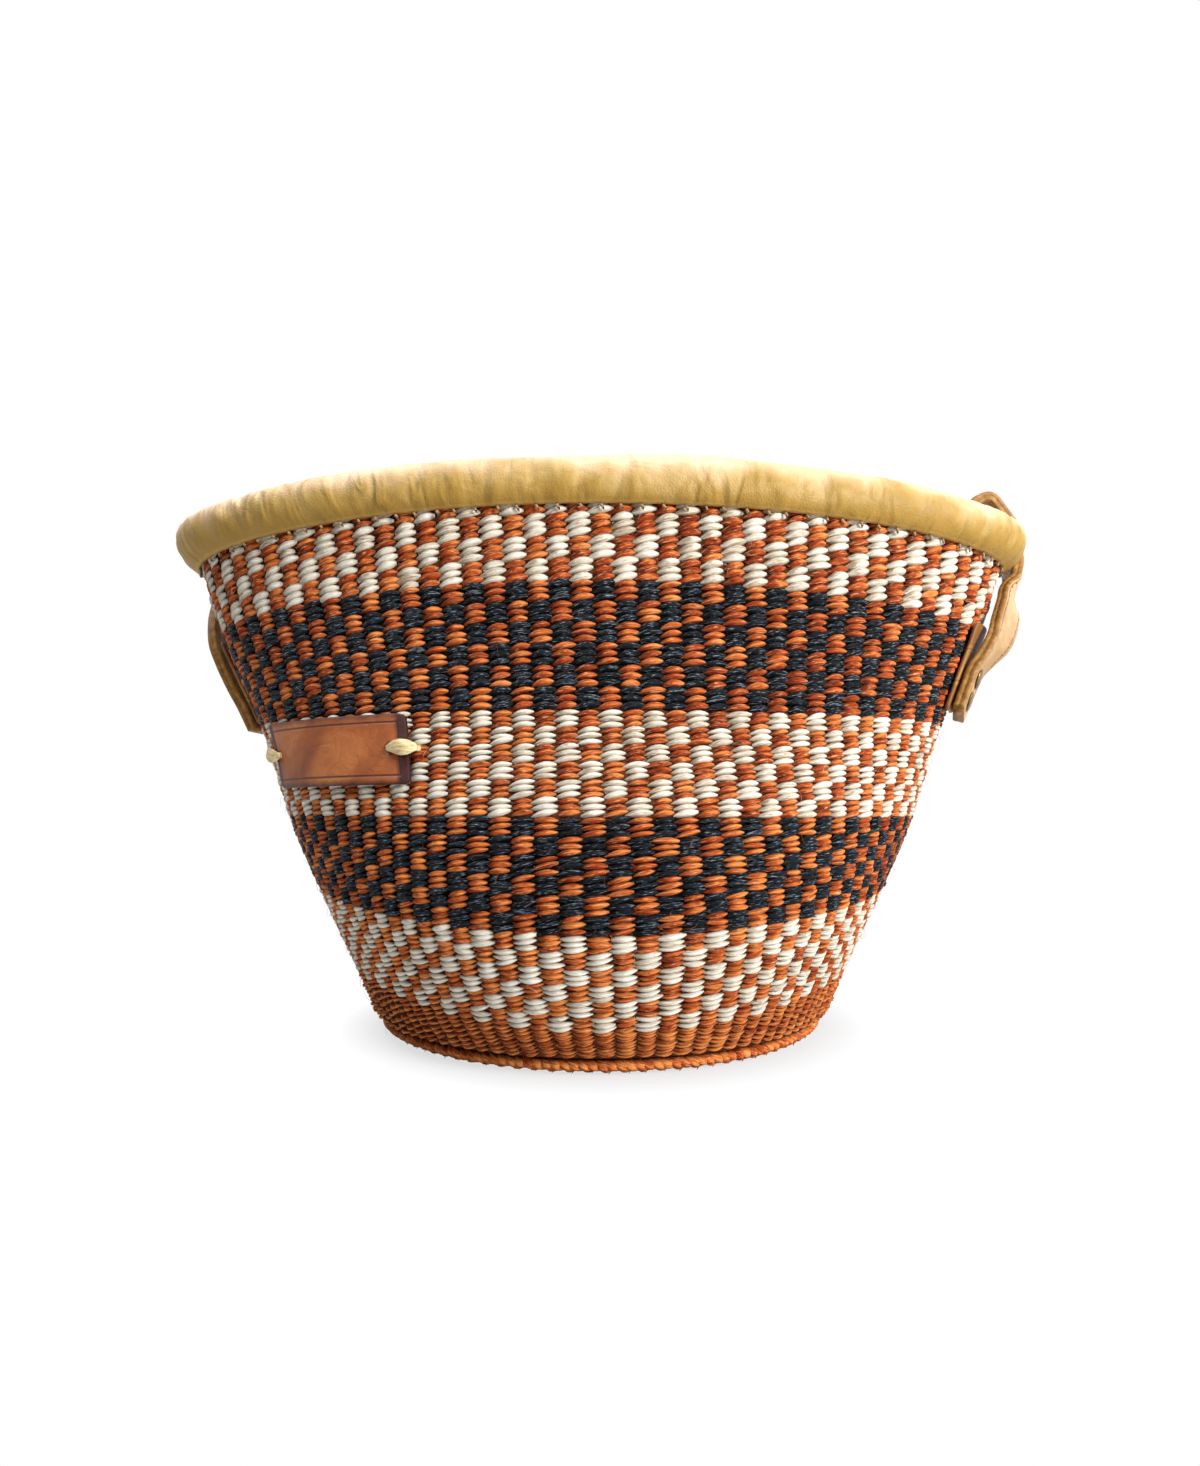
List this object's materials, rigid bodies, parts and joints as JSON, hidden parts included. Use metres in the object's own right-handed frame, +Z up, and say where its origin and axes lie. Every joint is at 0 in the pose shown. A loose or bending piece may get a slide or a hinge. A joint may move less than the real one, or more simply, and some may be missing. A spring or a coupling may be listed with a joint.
{
  "type": "straw crossbody bag",
  "caption": "Woven sisal bag: round base, long pinched mouth with rolled leather rim, tied leather label and a riveted leather strap stored inside.",
  "frame": {"origin": "on the ground, under the middle of the round base", "axes": "+Z up, +X along the long axis of the mouth, -Y towards the face with the label"},
  "size_m": [0.27, 0.172, 0.1671],
  "materials": {
    "rust_sisal": "woven, matte",
    "cream_check_sisal": "woven, matte, cream and rust checks",
    "navy_check_sisal": "woven, matte, navy and rust checks",
    "bare_sisal": "bundled, matte",
    "rim_goatskin": "soft, slightly creased, satin",
    "pale_thread": "waxed, matte",
    "label_leather": "smooth, burnt edge",
    "thong_hide": "raw hide, matte",
    "strap_leather": "smooth, satin",
    "rivet_brass": "aged, satin"
  },
  "bodies": {
    "root": {"base_disc": "rust_sisal", "base_edge_braid": "rust_sisal", "wall_band_1_rust": "rust_sisal", "wall_band_2_cream": "cream_check_sisal", "wall_band_3_navy": "navy_check_sisal", "wall_band_4_cream": "cream_check_sisal", "wall_band_5_navy": "navy_check_sisal", "wall_band_6_cream": "cream_check_sisal", "rim_hoop": "bare_sisal", "rim_leather": "rim_goatskin", "rim_thread": "pale_thread", "label": "label_leather", "label_thong_near": "thong_hide", "label_thong_far": "thong_hide", "strap_folds": "strap_leather", "strap_tab_right": "strap_leather", "strap_backing_right": "strap_leather", "strap_run_right": "strap_leather", "rivet_right_lower": "rivet_brass", "rivet_right_upper": "rivet_brass", "strap_tab_left": "strap_leather", "strap_backing_left": "strap_leather", "strap_run_left": "strap_leather", "rivet_left_lower": "rivet_brass", "rivet_left_upper": "rivet_brass"}
  },
  "joints": []
}
